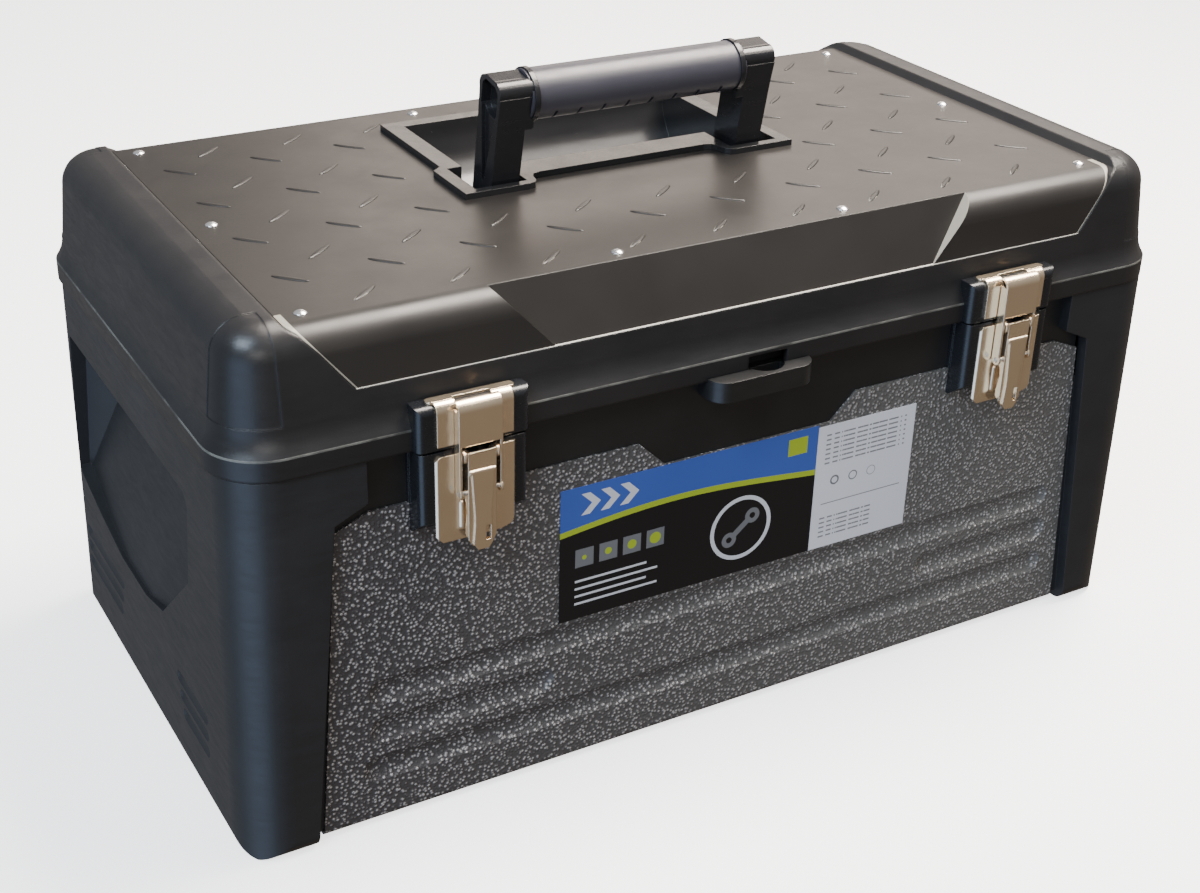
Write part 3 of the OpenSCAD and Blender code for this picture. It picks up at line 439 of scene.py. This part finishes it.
# a bright painted highlight on the ledge's upward face under the panel's front
ledge = sums(tree, "MULTIPLY", held(tree, z, ledge_edge - ledge_line, ledge_edge + ledge_line),
             patch(tree, x, y, -ledge_half, ledge_half, ledge_front, ledge_back))
wear_and_highlight = blended(tree, flange, plain, flange_highlight_and_wear)
tree.links.new(blended(tree, ledge, wear_and_highlight, ledge_painted_highlight), shader.inputs["Base Color"])
dress(lid_plastic, "lid_frame")

# ---------------------------------------------------------------- lid panel
# A pressed steel panel, satin black, bent down over the front and the back.
# The ends of its front facet and of its front edge are worn to the bare steel.
# Low lens-shaped ridges in two directions stand on its top.

paint_dark, paint_pale, bare_steel = (0.019, 0.017, 0.016), (0.030, 0.027, 0.024), (0.34, 0.32, 0.27)
facet_slope = 0.35
facet_front, facet_back = -0.14, -0.10
end_lean, end_inner, end_outer, end_back = 0.82, 0.0085, 0.0115, -0.104

panel_steel, tree, shader = finish("panel_steel", (0.024, 0.021, 0.019), 0.36, metal=0.1)
cloud = noise(tree, at_object(tree, scale=(1, 1.6, 1)), scale=7, detail=4, rough=0.6)
paint = blended(tree, spread(tree, cloud, 0.3, 0.75), paint_dark, paint_pale)
facing, _, _ = split(tree, tree.nodes.new("ShaderNodeTexCoord").outputs["Normal"])
x, y, z = split(tree, at_object(tree))
facet_end = sums(tree, "GREATER_THAN", sums(tree, "ABSOLUTE", facing), facet_slope)
facet_end = sums(tree, "MULTIPLY", facet_end, held(tree, y, facet_front, facet_back))
from_end = sums(tree, "SUBTRACT", sums(tree, "ABSOLUTE", x), sums(tree, "MULTIPLY", z, end_lean))
end_edge = patch(tree, from_end, y, end_inner, end_outer, facet_front, end_back)
bare = sums(tree, "MAXIMUM", facet_end, end_edge)
tree.links.new(blended(tree, bare, paint, bare_steel), shader.inputs["Base Color"])
polish = noise(tree, at_object(tree), scale=35, detail=5, rough=0.65)
tree.links.new(spread(tree, polish, 0.3, 0.75, 0.31, 0.41), shader.inputs["Roughness"])
orange_peel = noise(tree, at_object(tree), scale=1500, detail=2, rough=0.5)
relief(tree, shader, orange_peel, depth=0.00004, strength=0.5)
dress(panel_steel, "tread_panel")

ridge_half_length, ridge_half_width = 0.0088, 0.0015
ridge_step, ridge_sink = 0.043, 0.00005
bezel_half, bezel_front, bezel_back = 0.098, -0.026, 0.092

bpy.ops.mesh.primitive_circle_add(vertices=20, radius=1, fill_type="NGON", location=(0, 0, 0))
one_ridge = bpy.context.object
bpy.ops.object.mode_set(mode="EDIT")
bpy.ops.transform.resize(value=(ridge_half_length, ridge_half_width, 1), center_override=(0, 0, 0))
for rise, narrow in ((0.0004, (0.93, 0.72, 1)), (0.0002, (0.86, 0.45, 1))):
    bpy.ops.mesh.extrude_region_move(TRANSFORM_OT_translate={"value": (0, 0, rise)})
    bpy.ops.transform.resize(value=narrow, center_override=(0, 0, 0))
bpy.ops.object.mode_set(mode="OBJECT")

places = [(-0.196 + ridge_step * i, y, -45)
          for i in range(10) for y in (0.071, 0.023, -0.025, -0.072)]
places += [(-0.1745 + ridge_step * i, y, 38)
           for i in range(9) for y in (0.093, 0.045, -0.003, -0.050, -0.099)]
_, panel_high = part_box("tread_panel")
ridges = []
for x, y, turn in places:
    if abs(x) < bezel_half and bezel_front < y < bezel_back:
        continue
    ridge = one_ridge.copy()
    ridge.data = one_ridge.data.copy()
    ridge.data.transform(Matrix.Translation((x, y, panel_high.z - ridge_sink))
                         @ Matrix.Rotation(math.radians(turn), 4, "Z"))
    bpy.context.collection.objects.link(ridge)
    ridges.append(ridge)
bpy.data.objects.remove(one_ridge)
bpy.ops.object.select_all(action="DESELECT")
for ridge in ridges:
    ridge.select_set(True)
bpy.context.view_layer.objects.active = ridges[0]
bpy.ops.object.join()
tread_ridges = bpy.context.object
tread_ridges.name = "tread_ridges"
bpy.ops.object.shade_smooth_by_angle(angle=math.radians(50))
tread_ridges.data.materials.append(panel_steel)
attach(tread_ridges, "lid")

# ---------------------------------------------------------------- rivets
# Ten domed aluminium rivets hold the panel down on the moulded frame.
# They keep their bright heads.

dress(plated("rivet_head", (0.85, 0.85, 0.85), 0.2), "panel_rivets")

# ---------------------------------------------------------------- handle frame
# The glossy moulded frame round the handle, with a deep scoop for the fingers.
# It is clipped into the steel panel.

dress(moulded_plastic("frame_plastic", (0.016, 0.016, 0.017), (0.022, 0.021, 0.021), 0.2),
      "handle_bezel")

# ---------------------------------------------------------------- handle
# Two moulded legs with rounded heads, a soft grey grip between them, and steel pins.
# The handle folds back into its frame.

dress(moulded_plastic("leg_plastic", (0.012, 0.012, 0.014), (0.020, 0.020, 0.021), 0.22),
      "handle_leg_left", "handle_leg_right")
dress(moulded_plastic("grip_plastic", (0.045, 0.043, 0.055), (0.060, 0.057, 0.070), 0.36),
      "handle_grip")
dress(pin_steel, "handle_pins")

# ---------------------------------------------------------------- tray
# The lift-out tray, moulded in dark plastic with a carrying wall along its middle.
# It rests on the two hand pockets and lifts straight out.

dress(moulded_plastic("tray_plastic", (0.030, 0.030, 0.033), (0.038, 0.038, 0.041), 0.45),
      "tote_tray")
